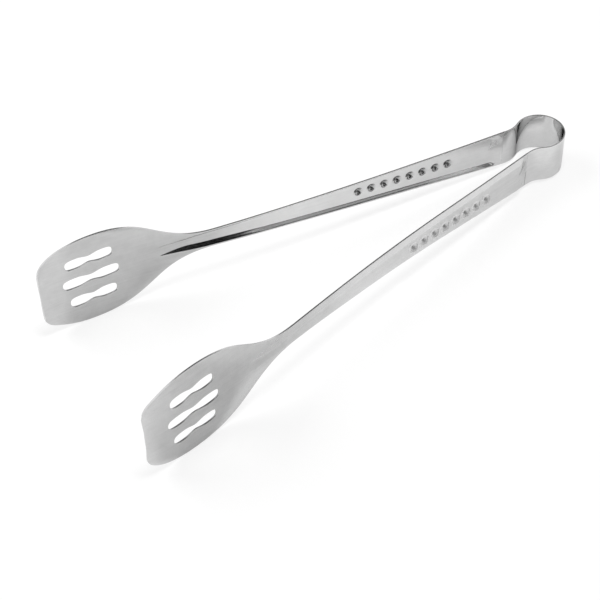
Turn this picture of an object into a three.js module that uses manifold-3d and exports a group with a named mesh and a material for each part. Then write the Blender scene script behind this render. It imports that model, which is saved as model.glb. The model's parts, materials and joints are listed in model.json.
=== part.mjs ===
// Salad tongs of stainless sheet: two stamped arms with slotted blades, joined by a spring bow.
// Millimetres. The tongs lie on their side edges on the plane z = 0, with the blades towards +X.
// Everything is drawn first in a flat frame: origin on the axis of the spring loop, at half the
// band's width, x towards the blades, y across, z along the loop's axis. The last section lays
// that frame down so that the blades' lower edges and the loop's lower edge touch z = 0.

import * as THREE from 'three';
import { mergeVertices } from 'three/addons/utils/BufferGeometryUtils.js';
import Module from 'manifold-3d';

const wasm = await Module();
wasm.setup();

// Sheet and seams
const SHEET_THICKNESS = 0.9;
const SEAM_CLEARANCE = 0.3;
const CUT_OVERRUN = 2;
const MERGE_DISTANCE = 0.0001;

// Spring bow
const LOOP_OUTER_DIAMETER = 27.5;
const BAND_WIDTH = 23.4;
const REVERSE_BEND_RADIUS = 14;
const SEAM_FROM_LOOP_AXIS = 17;
const SEAM_HALF_GAP = 10.4;
const BOW_FACET_DEG = 9;

// Run of an arm from the seam to the tip, seen from above: lengths, and headings from the X axis
const HANDLE_HEADING_DEG = 8.6;
const NECK_HEADING_DEG = 13.4;
const BLADE_HEADING_DEG = 7.8;
const TIP_HEADING_DEG = -4;
const HANDLE_STRAIGHT_LENGTH = 61;
const HANDLE_CURVE_LENGTH = 127;
const NECK_CURVE_LENGTH = 24.5;
const BLADE_STRAIGHT_LENGTH = 40.5;
const TIP_CURL_LENGTH = 12;

// Outline of an arm, seen from the side
const HANDLE_SIDE_HOLLOW = 0.5;
const NECK_WIDTH = 11.8;
const NECK_FROM_SEAM = 170;
const NECK_EASE_LENGTH = 33;
const SHOULDER_EASE_LENGTH = 34;
const BLADE_WIDTH = 58.6;
const WIDEST_FROM_TIP = 29;
const SIDE_EASE_LENGTH = 14;
const TIP_WIDTH = 40.4;
const TIP_SIDE_LENGTH = 8;
const TIP_SIDE_RISE = 5;
const TIP_CORNER_LENGTH = 5;

// Channel pressed outwards along the handle
const CHANNEL_DEPTH = 1.7;
const RIM_WIDTH = 0.5;
const WALL_RUN = 1.6;
const NECK_WALL_RUN = 3;
const WALL_EASE_LENGTH = 60;
const CHANNEL_START = 0.6;
const CHANNEL_END_WALL = 4.2;
const CHANNEL_CORNER_RADIUS = 5.5;
const CHANNEL_FADE_START = 182;
const CHANNEL_FADE_END = 205;
const CHANNEL_POINT_WIDTH = 7;
const THINNEST_WALL_SHARE = 0.3;

// Dish of the blade
const BLADE_DISH = 0.8;
const DISH_EASE_LENGTH = 25;

// Bends of the sheet in its own plane: the handle arches up a little, and the blade droops past
// the neck, towards the edge that the tongs lie on
const HANDLE_ARCH = 0.8;
const BLADE_DROOP_DEG = 4.1;
const DROOP_FROM_SEAM = 190;
const DROOP_BEND_LENGTH = 24;

// Row of grip dimples, pressed outwards
const DIMPLE_COUNT = 8;
const DIMPLE_PITCH = 7.7;
const FIRST_DIMPLE_FROM_SEAM = 32.9;
const DIMPLE_DIAMETER = 6.2;
const DIMPLE_HEIGHT = 1.1;
const DIMPLE_WALL = 0.75;
const DIMPLE_SIDES = 10;
const DIMPLE_RINGS = 3;

// Drain slots, two lobes with a waist between them
const SLOT_PITCH = 13.5;
const SLOT_CENTRE_FROM_TIP = 28;
const MIDDLE_SLOT_LENGTH = 30.8;
const SIDE_SLOT_LENGTH = 25.8;
const LOBE_WIDTH = 6.9;
const WAIST_WIDTH = 4.4;
const SLOT_CURVE_SEGMENTS = 3;

// Mesh steps along an arm
const HANDLE_STEP = 9;
const BLADE_STEP = 4;
const DETAIL_STEP = 1.4;
const OUTLINE_SAMPLES = 24;

const radians = THREE.MathUtils.degToRad;
const ease = THREE.MathUtils.smoothstep;
const clamp = THREE.MathUtils.clamp;
const mix = THREE.MathUtils.lerp;

// Run of the sheet's middle surface, from the seam on

const HEADING = radians(HANDLE_HEADING_DEG);
const STRETCHES = [
  { length: HANDLE_STRAIGHT_LENGTH, to: HEADING },
  { length: HANDLE_CURVE_LENGTH, to: radians(NECK_HEADING_DEG) },
  { length: NECK_CURVE_LENGTH, to: radians(BLADE_HEADING_DEG) },
  { length: BLADE_STRAIGHT_LENGTH, to: radians(BLADE_HEADING_DEG) },
  { length: TIP_CURL_LENGTH, to: radians(TIP_HEADING_DEG) },
];
const ARM_LENGTH = STRETCHES.reduce((sum, stretch) => sum + stretch.length, 0);
const SEAM_POINT = new THREE.Vector2(SEAM_FROM_LOOP_AXIS, SEAM_HALF_GAP);

// Place and heading at a distance from the seam. Each stretch is a straight or a circular arc.
function runAt(distance) {
  const place = SEAM_POINT.clone();
  let heading = HEADING;
  let left = distance;
  for (const { length, to } of STRETCHES) {
    const part = Math.min(left, length);
    const turn = ((to - heading) * part) / length;
    const chord = turn === 0 ? part : (part * Math.sin(turn / 2)) / (turn / 2);
    const chordHeading = heading + turn / 2;
    place.x += chord * Math.cos(chordHeading);
    place.y += chord * Math.sin(chordHeading);
    heading += turn;
    left -= part;
    if (left <= 0) break;
  }
  return { place, heading };
}

// Slope of an arm's middle line at a distance from the seam, and how far that line has sunk.
// The slope grows evenly over the bend and then stays. The arch ends where the bend starts.
function droopAt(distance) {
  const full = Math.tan(radians(BLADE_DROOP_DEG));
  const past = Math.max(distance - DROOP_FROM_SEAM, 0);
  const inBend = Math.min(past, DROOP_BEND_LENGTH);
  const slope = (full * inBend) / DROOP_BEND_LENGTH;
  const share = clamp(distance / DROOP_FROM_SEAM, 0, 1);
  const arch = HANDLE_ARCH * Math.sin(Math.PI * share) ** 2;
  return { slope, sunk: (slope * inBend) / 2 + full * (past - inBend) - arch };
}

// Point of an arm from its distance along the run, its height over the middle line and its
// outward offset
function sheetPoint(distance, height, outwards) {
  const { place, heading } = runAt(distance);
  return new THREE.Vector3(
    place.x - outwards * Math.sin(heading),
    place.y + outwards * Math.cos(heading),
    height - droopAt(distance).sunk,
  );
}

// Half width of an arm at each distance from the seam, read off its side outline

const WIDEST = ARM_LENGTH - WIDEST_FROM_TIP;
const TIP_SIDE_START = ARM_LENGTH - TIP_SIDE_LENGTH;

function halfOutline() {
  const band = BAND_WIDTH / 2;
  const neck = NECK_WIDTH / 2;
  const blade = BLADE_WIDTH / 2;
  const tip = TIP_WIDTH / 2;
  const slope = TIP_SIDE_RISE / TIP_SIDE_LENGTH;
  const cornerStart = ARM_LENGTH - TIP_CORNER_LENGTH;
  const handleMiddle = (band + neck) / 2 - 2 * HANDLE_SIDE_HOLLOW;
  const outline = new THREE.Path();
  outline.moveTo(0, band);
  outline.quadraticCurveTo(NECK_FROM_SEAM / 2, handleMiddle, NECK_FROM_SEAM, neck);
  outline.bezierCurveTo(
    NECK_FROM_SEAM + NECK_EASE_LENGTH, neck,
    WIDEST - SHOULDER_EASE_LENGTH, blade,
    WIDEST, blade,
  );
  outline.bezierCurveTo(
    WIDEST + SIDE_EASE_LENGTH, blade,
    TIP_SIDE_START, tip + TIP_SIDE_RISE,
    cornerStart, tip + TIP_CORNER_LENGTH * slope,
  );
  outline.quadraticCurveTo(ARM_LENGTH, tip, ARM_LENGTH, tip - TIP_CORNER_LENGTH);
  return outline.getPoints(OUTLINE_SAMPLES);
}

const OUTLINE = halfOutline();

function halfWidthAt(distance) {
  const next = OUTLINE.findIndex((point) => point.x >= distance);
  if (next <= 0) return distance > 0 ? OUTLINE.at(-1).y : OUTLINE[0].y;
  const from = OUTLINE[next - 1];
  const to = OUTLINE[next];
  const share = (distance - from.x) / (to.x - from.x);
  return mix(from.y, to.y, share);
}

// How far the middle surface stands outwards of the rims: the channel, then the blade's dish

// 1 along the handle, falling to 0 where the blade begins
function channelFadeAt(distance) {
  return 1 - ease(distance, CHANNEL_FADE_START, CHANNEL_FADE_END);
}

function wallRunAt(distance) {
  const share = ease(distance, NECK_FROM_SEAM - WALL_EASE_LENGTH, NECK_FROM_SEAM);
  const full = mix(WALL_RUN, NECK_WALL_RUN, share);
  return full * Math.max(channelFadeAt(distance), THINNEST_WALL_SHARE);
}

function channelHalfWidthAt(distance) {
  const full = halfWidthAt(Math.min(distance, NECK_FROM_SEAM)) - RIM_WIDTH;
  const narrowing = ease(distance, NECK_FROM_SEAM, CHANNEL_FADE_END);
  return mix(full, CHANNEL_POINT_WIDTH / 2, narrowing);
}

function channelOffset(distance, z) {
  const radius = CHANNEL_CORNER_RADIUS;
  const fromSide = channelHalfWidthAt(distance) - Math.abs(z);
  const fromEnd = distance - CHANNEL_START;
  const inCorner = fromSide < radius && fromEnd < radius;
  const inside = inCorner
    ? radius - Math.hypot(radius - fromSide, radius - fromEnd)
    : Math.min(fromSide, fromEnd);
  const run = mix(CHANNEL_END_WALL, wallRunAt(distance), clamp(fromEnd / radius, 0, 1));
  return CHANNEL_DEPTH * channelFadeAt(distance) * clamp(inside / run, 0, 1);
}

function dishOffset(distance, z) {
  const depth = BLADE_DISH * ease(distance, CHANNEL_FADE_START, CHANNEL_FADE_END + DISH_EASE_LENGTH);
  return depth * (1 - (z / halfWidthAt(distance)) ** 2);
}

// Heights of the mesh columns across an arm: on the channel's edges, then spread over the blade
function columnHeights(distance) {
  const half = halfWidthAt(distance);
  const wallTop = Math.min(channelHalfWidthAt(distance), half - RIM_WIDTH);
  const web = wallTop - wallRunAt(distance);
  const channel = [half, wallTop, web, web / 2, 0];
  const spread = ease(distance, CHANNEL_FADE_END - DISH_EASE_LENGTH / 5, WIDEST);
  const upper = channel.map((height, index) => {
    const evenShare = 1 - index / (channel.length - 1);
    return mix(height, half * evenShare, spread);
  });
  const lower = upper.slice(0, -1).map((height) => -height);
  return [...lower, ...upper.reverse()];
}

// One side of the sheet across an arm: the middle line moved along its own normals
function shiftedSection(distance, shift) {
  const line = columnHeights(distance).map((z) => {
    return new THREE.Vector2(z, channelOffset(distance, z) + dishOffset(distance, z));
  });
  const normals = line.slice(1).map((point, index) => {
    const along = point.clone().sub(line[index]).normalize();
    return new THREE.Vector2(-along.y, along.x);
  });
  return line.map((point, index) => {
    const before = normals[Math.max(index - 1, 0)];
    const after = normals[Math.min(index, normals.length - 1)];
    const bisector = before.clone().add(after).normalize();
    return point.clone().addScaledVector(bisector, shift / bisector.dot(after));
  });
}

// Distances from the seam at which the mesh has a row
function rowDistances() {
  const marks = [
    [SEAM_CLEARANCE / 2, DETAIL_STEP],
    [CHANNEL_START, DETAIL_STEP],
    [CHANNEL_START + CHANNEL_CORNER_RADIUS, HANDLE_STEP],
    [HANDLE_STRAIGHT_LENGTH, HANDLE_STEP],
    [CHANNEL_FADE_START, BLADE_STEP],
    [WIDEST, BLADE_STEP],
    [ARM_LENGTH - TIP_CURL_LENGTH, BLADE_STEP / 2],
    [ARM_LENGTH - TIP_CORNER_LENGTH, DETAIL_STEP],
    [ARM_LENGTH, DETAIL_STEP],
  ];
  const rows = [];
  for (let index = 0; index < marks.length - 1; index += 1) {
    const [from, step] = marks[index];
    const to = marks[index + 1][0];
    const count = Math.max(1, Math.round((to - from) / step));
    for (let row = 0; row < count; row += 1) rows.push(mix(from, to, row / count));
  }
  rows.push(ARM_LENGTH);
  return rows;
}

// A closed sheet from two matching grids of points, the outer side first
function closedSheet(outer, inner) {
  const rows = outer.length;
  const columns = outer[0].length;
  const positions = [...outer.flat(), ...inner.flat()].flatMap((point) => point.toArray());
  const at = (side, row, column) => (side * rows + row) * columns + column;
  const index = [];
  const quad = (a, b, c, d) => index.push(a, b, c, a, c, d);
  for (let row = 0; row < rows - 1; row += 1) {
    for (let column = 0; column < columns - 1; column += 1) {
      quad(at(0, row, column), at(0, row, column + 1), at(0, row + 1, column + 1), at(0, row + 1, column));
      quad(at(1, row, column), at(1, row + 1, column), at(1, row + 1, column + 1), at(1, row, column + 1));
    }
    const last = columns - 1;
    quad(at(0, row, 0), at(0, row + 1, 0), at(1, row + 1, 0), at(1, row, 0));
    quad(at(0, row, last), at(1, row, last), at(1, row + 1, last), at(0, row + 1, last));
  }
  for (let column = 0; column < columns - 1; column += 1) {
    const last = rows - 1;
    quad(at(0, 0, column), at(1, 0, column), at(1, 0, column + 1), at(0, 0, column + 1));
    quad(at(0, last, column), at(0, last, column + 1), at(1, last, column + 1), at(1, last, column));
  }
  const geometry = new THREE.BufferGeometry();
  geometry.setAttribute('position', new THREE.Float32BufferAttribute(positions, 3));
  geometry.setIndex(index);
  return geometry;
}

function formedSheet() {
  const side = (shift) => rowDistances().map((distance) => {
    return shiftedSection(distance, shift).map((point) => sheetPoint(distance, point.x, point.y));
  });
  return closedSheet(side(SHEET_THICKNESS / 2), side(-SHEET_THICKNESS / 2));
}

// Booleans

function toSolid(geometry) {
  const bare = geometry.clone();
  bare.deleteAttribute('normal');
  bare.deleteAttribute('uv');
  const merged = mergeVertices(bare, MERGE_DISTANCE);
  const triangles = [];
  for (let start = 0; start < merged.index.count; start += 3) {
    const corners = [0, 1, 2].map((corner) => merged.index.getX(start + corner));
    if (new Set(corners).size === 3) triangles.push(...corners);
  }
  return new wasm.Manifold(new wasm.Mesh({
    numProp: 3,
    vertProperties: new Float32Array(merged.attributes.position.array),
    triVerts: new Uint32Array(triangles),
  }));
}

function toGeometry(solid) {
  const mesh = solid.getMesh();
  const geometry = new THREE.BufferGeometry();
  geometry.setAttribute('position', new THREE.BufferAttribute(mesh.vertProperties, 3));
  geometry.setIndex(new THREE.BufferAttribute(mesh.triVerts, 1));
  geometry.computeVertexNormals();
  return geometry;
}

// Places a geometry drawn with +X along the arm, +Y along the sheet's outward normal and +Z up it
function onArm(geometry, distance, outwards, height) {
  const { slope } = droopAt(distance);
  geometry.applyMatrix4(new THREE.Matrix4().makeShear(0, -slope, 0, 0, 0, 0));
  geometry.rotateZ(runAt(distance).heading);
  geometry.translate(...sheetPoint(distance, height, outwards));
  return geometry;
}

// Grip dimple: a turned dome outside and a matching pit inside, from the web's outer face

function domeProfile(radius, centre, bottom) {
  const mouthAngle = Math.acos(clamp(-centre / radius, -1, 1));
  const wallRadius = radius * Math.sin(mouthAngle);
  const points = [new THREE.Vector2(0, bottom), new THREE.Vector2(wallRadius, bottom)];
  for (let ring = 0; ring <= DIMPLE_RINGS; ring += 1) {
    const angle = mouthAngle * (1 - ring / DIMPLE_RINGS);
    const across = ring === DIMPLE_RINGS ? 0 : radius * Math.sin(angle);
    points.push(new THREE.Vector2(across, centre + radius * Math.cos(angle)));
  }
  return points;
}

const DOME_RADIUS = ((DIMPLE_DIAMETER / 2) ** 2 + DIMPLE_HEIGHT ** 2) / (2 * DIMPLE_HEIGHT);
const DOME_CENTRE = DIMPLE_HEIGHT - DOME_RADIUS;
const WEB_OUTER_FACE = CHANNEL_DEPTH + SHEET_THICKNESS / 2;

function dimpleDome(distance) {
  const profile = domeProfile(DOME_RADIUS, DOME_CENTRE, -SHEET_THICKNESS / 2);
  return onArm(new THREE.LatheGeometry(profile, DIMPLE_SIDES), distance, WEB_OUTER_FACE, 0);
}

function dimplePit(distance) {
  const innerFace = -SHEET_THICKNESS;
  const centre = DOME_CENTRE - innerFace;
  const profile = domeProfile(DOME_RADIUS - DIMPLE_WALL, centre, -CUT_OVERRUN);
  const pit = new THREE.LatheGeometry(profile, DIMPLE_SIDES);
  return onArm(pit, distance, WEB_OUTER_FACE + innerFace, 0);
}

// Drain slot: a quarter of its outline, mirrored to the other three, pushed through the sheet

const WAIST_EASE_SHARE = 0.08;
const LOBE_EASE_SHARE = 0.14;
const LOBE_CENTRE_SHARE = 0.26;
const LOBE_END_SHARE = 0.45;
const END_ROUND_SHARE = 0.42;

function slotShape(length) {
  const waist = WAIST_WIDTH / 2;
  const lobe = LOBE_WIDTH / 2;
  const end = length / 2;
  const round = LOBE_WIDTH * END_ROUND_SHARE;
  const shape = new THREE.Shape();
  shape.moveTo(0, waist);
  for (const [toX, fromY] of [[-1, 1], [-1, -1], [1, -1], [1, 1]]) {
    const x = (share) => toX * length * share;
    const outwards = toX * fromY < 0;
    if (outwards) {
      shape.bezierCurveTo(
        x(WAIST_EASE_SHARE), fromY * waist, x(LOBE_EASE_SHARE), fromY * lobe,
        x(LOBE_CENTRE_SHARE), fromY * lobe,
      );
      shape.bezierCurveTo(x(LOBE_END_SHARE), fromY * lobe, toX * end, fromY * round, toX * end, 0);
    } else {
      shape.bezierCurveTo(
        toX * end, fromY * round, x(LOBE_END_SHARE), fromY * lobe,
        x(LOBE_CENTRE_SHARE), fromY * lobe,
      );
      shape.bezierCurveTo(
        x(LOBE_EASE_SHARE), fromY * lobe, x(WAIST_EASE_SHARE), fromY * waist, 0, fromY * waist,
      );
    }
  }
  return shape;
}

function slotCut(length, height) {
  const reach = SHEET_THICKNESS + BLADE_DISH + 2 * CUT_OVERRUN;
  const cut = new THREE.ExtrudeGeometry(slotShape(length), {
    depth: reach,
    bevelEnabled: false,
    curveSegments: SLOT_CURVE_SEGMENTS,
  });
  cut.translate(0, 0, -reach / 2);
  cut.rotateX(Math.PI / 2);
  return onArm(cut, ARM_LENGTH - SLOT_CENTRE_FROM_TIP, BLADE_DISH / 2, height);
}

// Arms

function armGeometry() {
  let arm = toSolid(formedSheet());
  for (let count = 0; count < DIMPLE_COUNT; count += 1) {
    const distance = FIRST_DIMPLE_FROM_SEAM + count * DIMPLE_PITCH;
    arm = arm.add(toSolid(dimpleDome(distance))).subtract(toSolid(dimplePit(distance)));
  }
  arm = arm.subtract(toSolid(slotCut(MIDDLE_SLOT_LENGTH, 0)));
  for (const side of [-1, 1]) {
    arm = arm.subtract(toSolid(slotCut(SIDE_SLOT_LENGTH, side * SLOT_PITCH)));
  }
  return toGeometry(arm);
}

function mirrored(geometry) {
  const copy = geometry.clone();
  copy.scale(1, -1, 1);
  const index = copy.index;
  for (let start = 0; start < index.count; start += 3) {
    const second = index.getX(start + 1);
    index.setX(start + 1, index.getX(start + 2));
    index.setX(start + 2, second);
  }
  copy.computeVertexNormals();
  return copy;
}

// Spring bow: the loop, a reverse bend at each end of it, and short straight tails to the seams

function arcPoints(centre, radius, from, to) {
  const count = Math.ceil(Math.abs(to - from) / radians(BOW_FACET_DEG));
  return Array.from({ length: count + 1 }, (_, step) => {
    const angle = mix(from, to, step / count);
    return new THREE.Vector2(
      centre.x + radius * Math.cos(angle),
      centre.y + radius * Math.sin(angle),
    );
  });
}

function bowSide(shift) {
  const loopRadius = (LOOP_OUTER_DIAMETER - SHEET_THICKNESS) / 2;
  const forward = new THREE.Vector2(Math.cos(HEADING), Math.sin(HEADING));
  const across = new THREE.Vector2(-Math.sin(HEADING), Math.cos(HEADING));
  const runHeight = SEAM_POINT.dot(across);
  const bendHeight = runHeight + REVERSE_BEND_RADIUS;
  const bendAlong = Math.sqrt((loopRadius + REVERSE_BEND_RADIUS) ** 2 - bendHeight ** 2);
  const bendCentre = forward.clone().multiplyScalar(bendAlong).addScaledVector(across, bendHeight);
  const meetAngle = bendCentre.angle();
  const loop = arcPoints(new THREE.Vector2(), loopRadius + shift, Math.PI, meetAngle);
  const bend = arcPoints(
    bendCentre,
    REVERSE_BEND_RADIUS - shift,
    meetAngle + Math.PI,
    HEADING + 1.5 * Math.PI,
  );
  const tail = SEAM_POINT.clone()
    .addScaledVector(forward, -SEAM_CLEARANCE / 2)
    .addScaledVector(across, shift);
  return [...loop, ...bend.slice(1), tail];
}

function bowGeometry() {
  const half = SHEET_THICKNESS / 2;
  const mirror = (points) => points.map((point) => new THREE.Vector2(point.x, -point.y));
  const outer = bowSide(half);
  const inner = bowSide(-half);
  const outline = [
    ...outer.slice(1).reverse(), ...mirror(outer),
    ...mirror(inner.slice(1)).reverse(), ...inner,
  ];
  const bow = new THREE.ExtrudeGeometry(new THREE.Shape(outline), {
    depth: BAND_WIDTH,
    bevelEnabled: false,
  });
  bow.translate(0, 0, -BAND_WIDTH / 2);
  return toGeometry(toSolid(bow));
}

// Materials: satin stainless steel, the bow a little brighter than the brushed arms

const armSteel = () => new THREE.MeshStandardMaterial({
  name: 'brushed_steel',
  color: 0xbfbfbf,
  roughness: 0.38,
  metalness: 1,
});
const bowSteel = () => new THREE.MeshStandardMaterial({
  name: 'satin_spring_steel',
  color: 0xc6c6c6,
  roughness: 0.3,
  metalness: 1,
});

// Assembly

function namedMesh(name, geometry, material) {
  const mesh = new THREE.Mesh(geometry, material);
  mesh.name = name;
  return mesh;
}

const leftArm = armGeometry();
const flat = new THREE.Group();
flat.add(namedMesh('spring_bow', bowGeometry(), bowSteel()));
flat.add(namedMesh('arm_left', leftArm, armSteel()));
flat.add(namedMesh('arm_right', mirrored(leftArm), armSteel()));

// Tilt at which the lower edges of the loop's far side and of the blades share one plane
function restTilt() {
  const tilts = OUTLINE.map(({ x: distance, y: halfWidth }) => {
    const edge = sheetPoint(distance, -halfWidth, 0);
    return Math.atan2(-edge.z - BAND_WIDTH / 2, edge.x + LOOP_OUTER_DIAMETER / 2);
  });
  return Math.max(...tilts);
}

flat.rotation.y = -restTilt();
flat.updateMatrixWorld(true);
const bounds = new THREE.Box3().setFromObject(flat, true);
flat.position.set(-(bounds.min.x + bounds.max.x) / 2, 0, -bounds.min.z);

const tongs = new THREE.Group();
tongs.name = 'salad_tongs';
tongs.add(flat);

export default tongs;
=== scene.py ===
# %% [markdown]
# # Salad tongs of stainless sheet
# The tongs are thin stainless sheet throughout. A plain strip is bent into the spring bow, and two
# stamped arms carry on from it, each with a pressed handle, a row of grip dimples and a broad
# slotted blade. Each arm is made here in the order in which a press shop makes it: a flat blank is
# cut, the slots are pierced while it is flat, and then it is pressed to its form.

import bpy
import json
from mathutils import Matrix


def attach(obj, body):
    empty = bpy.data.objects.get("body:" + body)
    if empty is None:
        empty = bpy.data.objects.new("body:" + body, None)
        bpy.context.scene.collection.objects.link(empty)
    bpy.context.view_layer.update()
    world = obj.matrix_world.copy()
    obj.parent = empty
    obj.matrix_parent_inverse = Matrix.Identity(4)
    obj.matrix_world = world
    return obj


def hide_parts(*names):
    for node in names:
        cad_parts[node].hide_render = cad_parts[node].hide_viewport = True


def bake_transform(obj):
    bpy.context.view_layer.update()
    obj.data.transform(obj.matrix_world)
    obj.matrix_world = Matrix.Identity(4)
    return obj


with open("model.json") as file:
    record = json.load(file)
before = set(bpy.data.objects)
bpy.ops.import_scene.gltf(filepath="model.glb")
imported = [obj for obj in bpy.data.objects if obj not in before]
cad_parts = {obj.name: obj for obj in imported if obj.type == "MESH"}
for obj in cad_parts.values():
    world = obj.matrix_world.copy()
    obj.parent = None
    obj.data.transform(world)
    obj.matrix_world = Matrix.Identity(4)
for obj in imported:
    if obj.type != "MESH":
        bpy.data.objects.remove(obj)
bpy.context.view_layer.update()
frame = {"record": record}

# %% [markdown]
# ## Where the tongs lie
# Everything is drawn in a flat frame first: its origin is on the axis of the bow's loop, X runs
# towards the blades, Y goes across, and Z is along the loop's axis. The tongs then lie down on
# their side edges, a little tilted, because the blades are wider than the loop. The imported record
# already holds that axis as the squeeze hinge, so it is read from there and not guessed again.

# %% The flat frame and where it lies
import math

import bmesh
import bpy
from mathutils import Matrix, Vector, geometry

MM = 0.001
hinges = {joint["name"]: joint for joint in frame["record"]["behaviour"]["joints"]}
loop_place = Vector(hinges["right_squeeze"]["pos_m"])
loop_axis = Vector(hinges["right_squeeze"]["axis"])
REST_TILT = math.atan2(-loop_axis.x, loop_axis.z)
flat_to_row = Matrix.Translation(loop_place) @ Matrix.Rotation(-REST_TILT, 4, "Y")
print("tilt", round(math.degrees(REST_TILT), 3))

# %% [markdown]
# ## The run of an arm
# Seen from above, an arm leaves the bow at a slight angle, bows outwards along the handle, comes
# back at the neck and curls in at the tip. Straights and circular arcs, one after the other, give
# that line. Walking along it by distance keeps the sheet's true length, as bending a strip does.

# %% Run of the sheet's middle, seen from above
SEAM = Vector((17 * MM, 10.4 * MM))
HANDLE_HEADING = math.radians(8.6)
NECK_HEADING = math.radians(13.4)
BLADE_HEADING = math.radians(7.8)
TIP_HEADING = math.radians(-4)
HANDLE_STRAIGHT = 61 * MM
HANDLE_CURVE = 127 * MM
NECK_CURVE = 24.5 * MM
BLADE_STRAIGHT = 40.5 * MM
TIP_CURL = 12 * MM
STRETCHES = (
    (HANDLE_STRAIGHT, HANDLE_HEADING),
    (HANDLE_CURVE, NECK_HEADING),
    (NECK_CURVE, BLADE_HEADING),
    (BLADE_STRAIGHT, BLADE_HEADING),
    (TIP_CURL, TIP_HEADING),
)
ARM_LENGTH = sum(length for length, heading in STRETCHES)


def run_at(distance):
    """Place and heading of the run at a distance from the seam."""
    place = SEAM.copy()
    heading = HANDLE_HEADING
    remaining = distance
    for length, to in STRETCHES:
        part = min(remaining, length)
        turn = (to - heading) * part / length
        chord = part if turn == 0 else part * math.sin(turn / 2) / (turn / 2)
        along = heading + turn / 2
        place += chord * Vector((math.cos(along), math.sin(along)))
        heading += turn
        remaining -= part
        if remaining <= 0:
            break
    if remaining > 0:
        place += remaining * Vector((math.cos(heading), math.sin(heading)))
    return place, heading


tip_place = run_at(ARM_LENGTH)[0]
print("arm length mm", round(ARM_LENGTH / MM, 1), "tip", [round(v / MM, 1) for v in tip_place])

# %% [markdown]
# ## The outline of the blank
# Seen from the side, the handle tapers to a slim neck and then swells into the blade, which ends
# in a straight lip with rounded corners. A Bezier curve is the natural way to draw such a flowing
# edge. One side is enough, because the blank is the same above and below its middle line.

# %% Half outline of an arm
BAND_WIDTH = 23.4 * MM
HANDLE_HOLLOW = 0.5 * MM
NECK_WIDTH = 11.8 * MM
NECK_DISTANCE = 170 * MM
NECK_EASE = 33 * MM
SHOULDER_EASE = 34 * MM
BLADE_WIDTH = 58.6 * MM
WIDEST_FROM_TIP = 29 * MM
SIDE_EASE = 14 * MM
TIP_WIDTH = 40.4 * MM
TIP_SIDE_LENGTH = 8 * MM
TIP_SIDE_RISE = 5 * MM
TIP_CORNER = 5 * MM
OUTLINE_SAMPLES = 48
WIDEST = ARM_LENGTH - WIDEST_FROM_TIP


def cubic(start, leave, arrive, end):
    """Points along a Bezier curve, without its last one."""
    corners = [Vector(point) for point in (start, leave, arrive, end)]
    return geometry.interpolate_bezier(*corners, OUTLINE_SAMPLES)[:-1]


def quadratic(start, pull, end):
    """Points along a curve that one handle pulls, without its last one."""
    start, pull, end = Vector(start), Vector(pull), Vector(end)
    return cubic(start, start.lerp(pull, 2 / 3), end.lerp(pull, 2 / 3), end)


def half_outline():
    """Half width of the blank against the distance from the seam."""
    band, neck, blade, tip = BAND_WIDTH / 2, NECK_WIDTH / 2, BLADE_WIDTH / 2, TIP_WIDTH / 2
    slope = TIP_SIDE_RISE / TIP_SIDE_LENGTH
    corner_start = ARM_LENGTH - TIP_CORNER
    corner_width = tip + TIP_CORNER * slope
    middle = (band + neck) / 2 - 2 * HANDLE_HOLLOW
    handle = quadratic((0, band), (NECK_DISTANCE / 2, middle), (NECK_DISTANCE, neck))
    shoulder = cubic(
        (NECK_DISTANCE, neck), (NECK_DISTANCE + NECK_EASE, neck),
        (WIDEST - SHOULDER_EASE, blade), (WIDEST, blade),
    )
    side = cubic(
        (WIDEST, blade), (WIDEST + SIDE_EASE, blade),
        (ARM_LENGTH - TIP_SIDE_LENGTH, tip + TIP_SIDE_RISE), (corner_start, corner_width),
    )
    corner = quadratic((corner_start, corner_width), (ARM_LENGTH, tip), (ARM_LENGTH, tip - TIP_CORNER))
    return handle + shoulder + side + corner + [Vector((ARM_LENGTH, tip - TIP_CORNER))]


outline = half_outline()
print("outline points", len(outline))

# %% Half width at a distance
import bisect

outline_distances = [point.x for point in outline]


def half_width_at(distance):
    """Half width of the blank at a distance from the seam."""
    after = bisect.bisect_left(outline_distances, distance)
    if after == 0 or after == len(outline):
        return outline[min(after, len(outline) - 1)].y
    start, end = outline[after - 1], outline[after]
    return start.y + (end.y - start.y) * (distance - start.x) / (end.x - start.x)


def ease(value, start, end):
    """0 before start, 1 after end, and smooth between them."""
    share = min(max((value - start) / (end - start), 0), 1)
    return share * share * (3 - 2 * share)


print("half width at the neck mm", round(half_width_at(NECK_DISTANCE) / MM, 2))

# %% [markdown]
# ## The pressed channel
# The handle is stiffened by a shallow tray, pressed outwards, that leaves a narrow flat rim on each
# side. It starts with rounded corners near the bow and runs out like the bow of a boat where the
# blade begins. Sheet never folds to a sharp corner, so each wall is a straight ramp with a small
# arc at its foot and another at its top. The wall across the start is much longer and gentler than
# the walls along the sides.

# %% Depth of the channel
CHANNEL_DEPTH = 1.7 * MM
RIM_WIDTH = 0.5 * MM
WALL_RUN = 1.6 * MM
NECK_WALL_RUN = 2.4 * MM
WALL_EASE = 45 * MM
CHANNEL_START = 0.6 * MM
CHANNEL_END_WALL = 9 * MM
CHANNEL_CORNER = 5.5 * MM
CHANNEL_FADE_START = 182 * MM
CHANNEL_FADE_END = 205 * MM
CHANNEL_POINT_WIDTH = 7 * MM
PRESS_RADIUS = 0.7 * MM
THINNEST_WALL_SHARE = 0.3


def channel_fade(distance):
    """1 along the handle, falling to 0 where the blade begins."""
    return 1 - ease(distance, CHANNEL_FADE_START, CHANNEL_FADE_END)


def wall_run_at(distance):
    """How wide the channel's wall is, seen from the side."""
    share = ease(distance, NECK_DISTANCE - WALL_EASE, NECK_DISTANCE)
    full = WALL_RUN + (NECK_WALL_RUN - WALL_RUN) * share
    return full * max(channel_fade(distance), THINNEST_WALL_SHARE)


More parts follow.
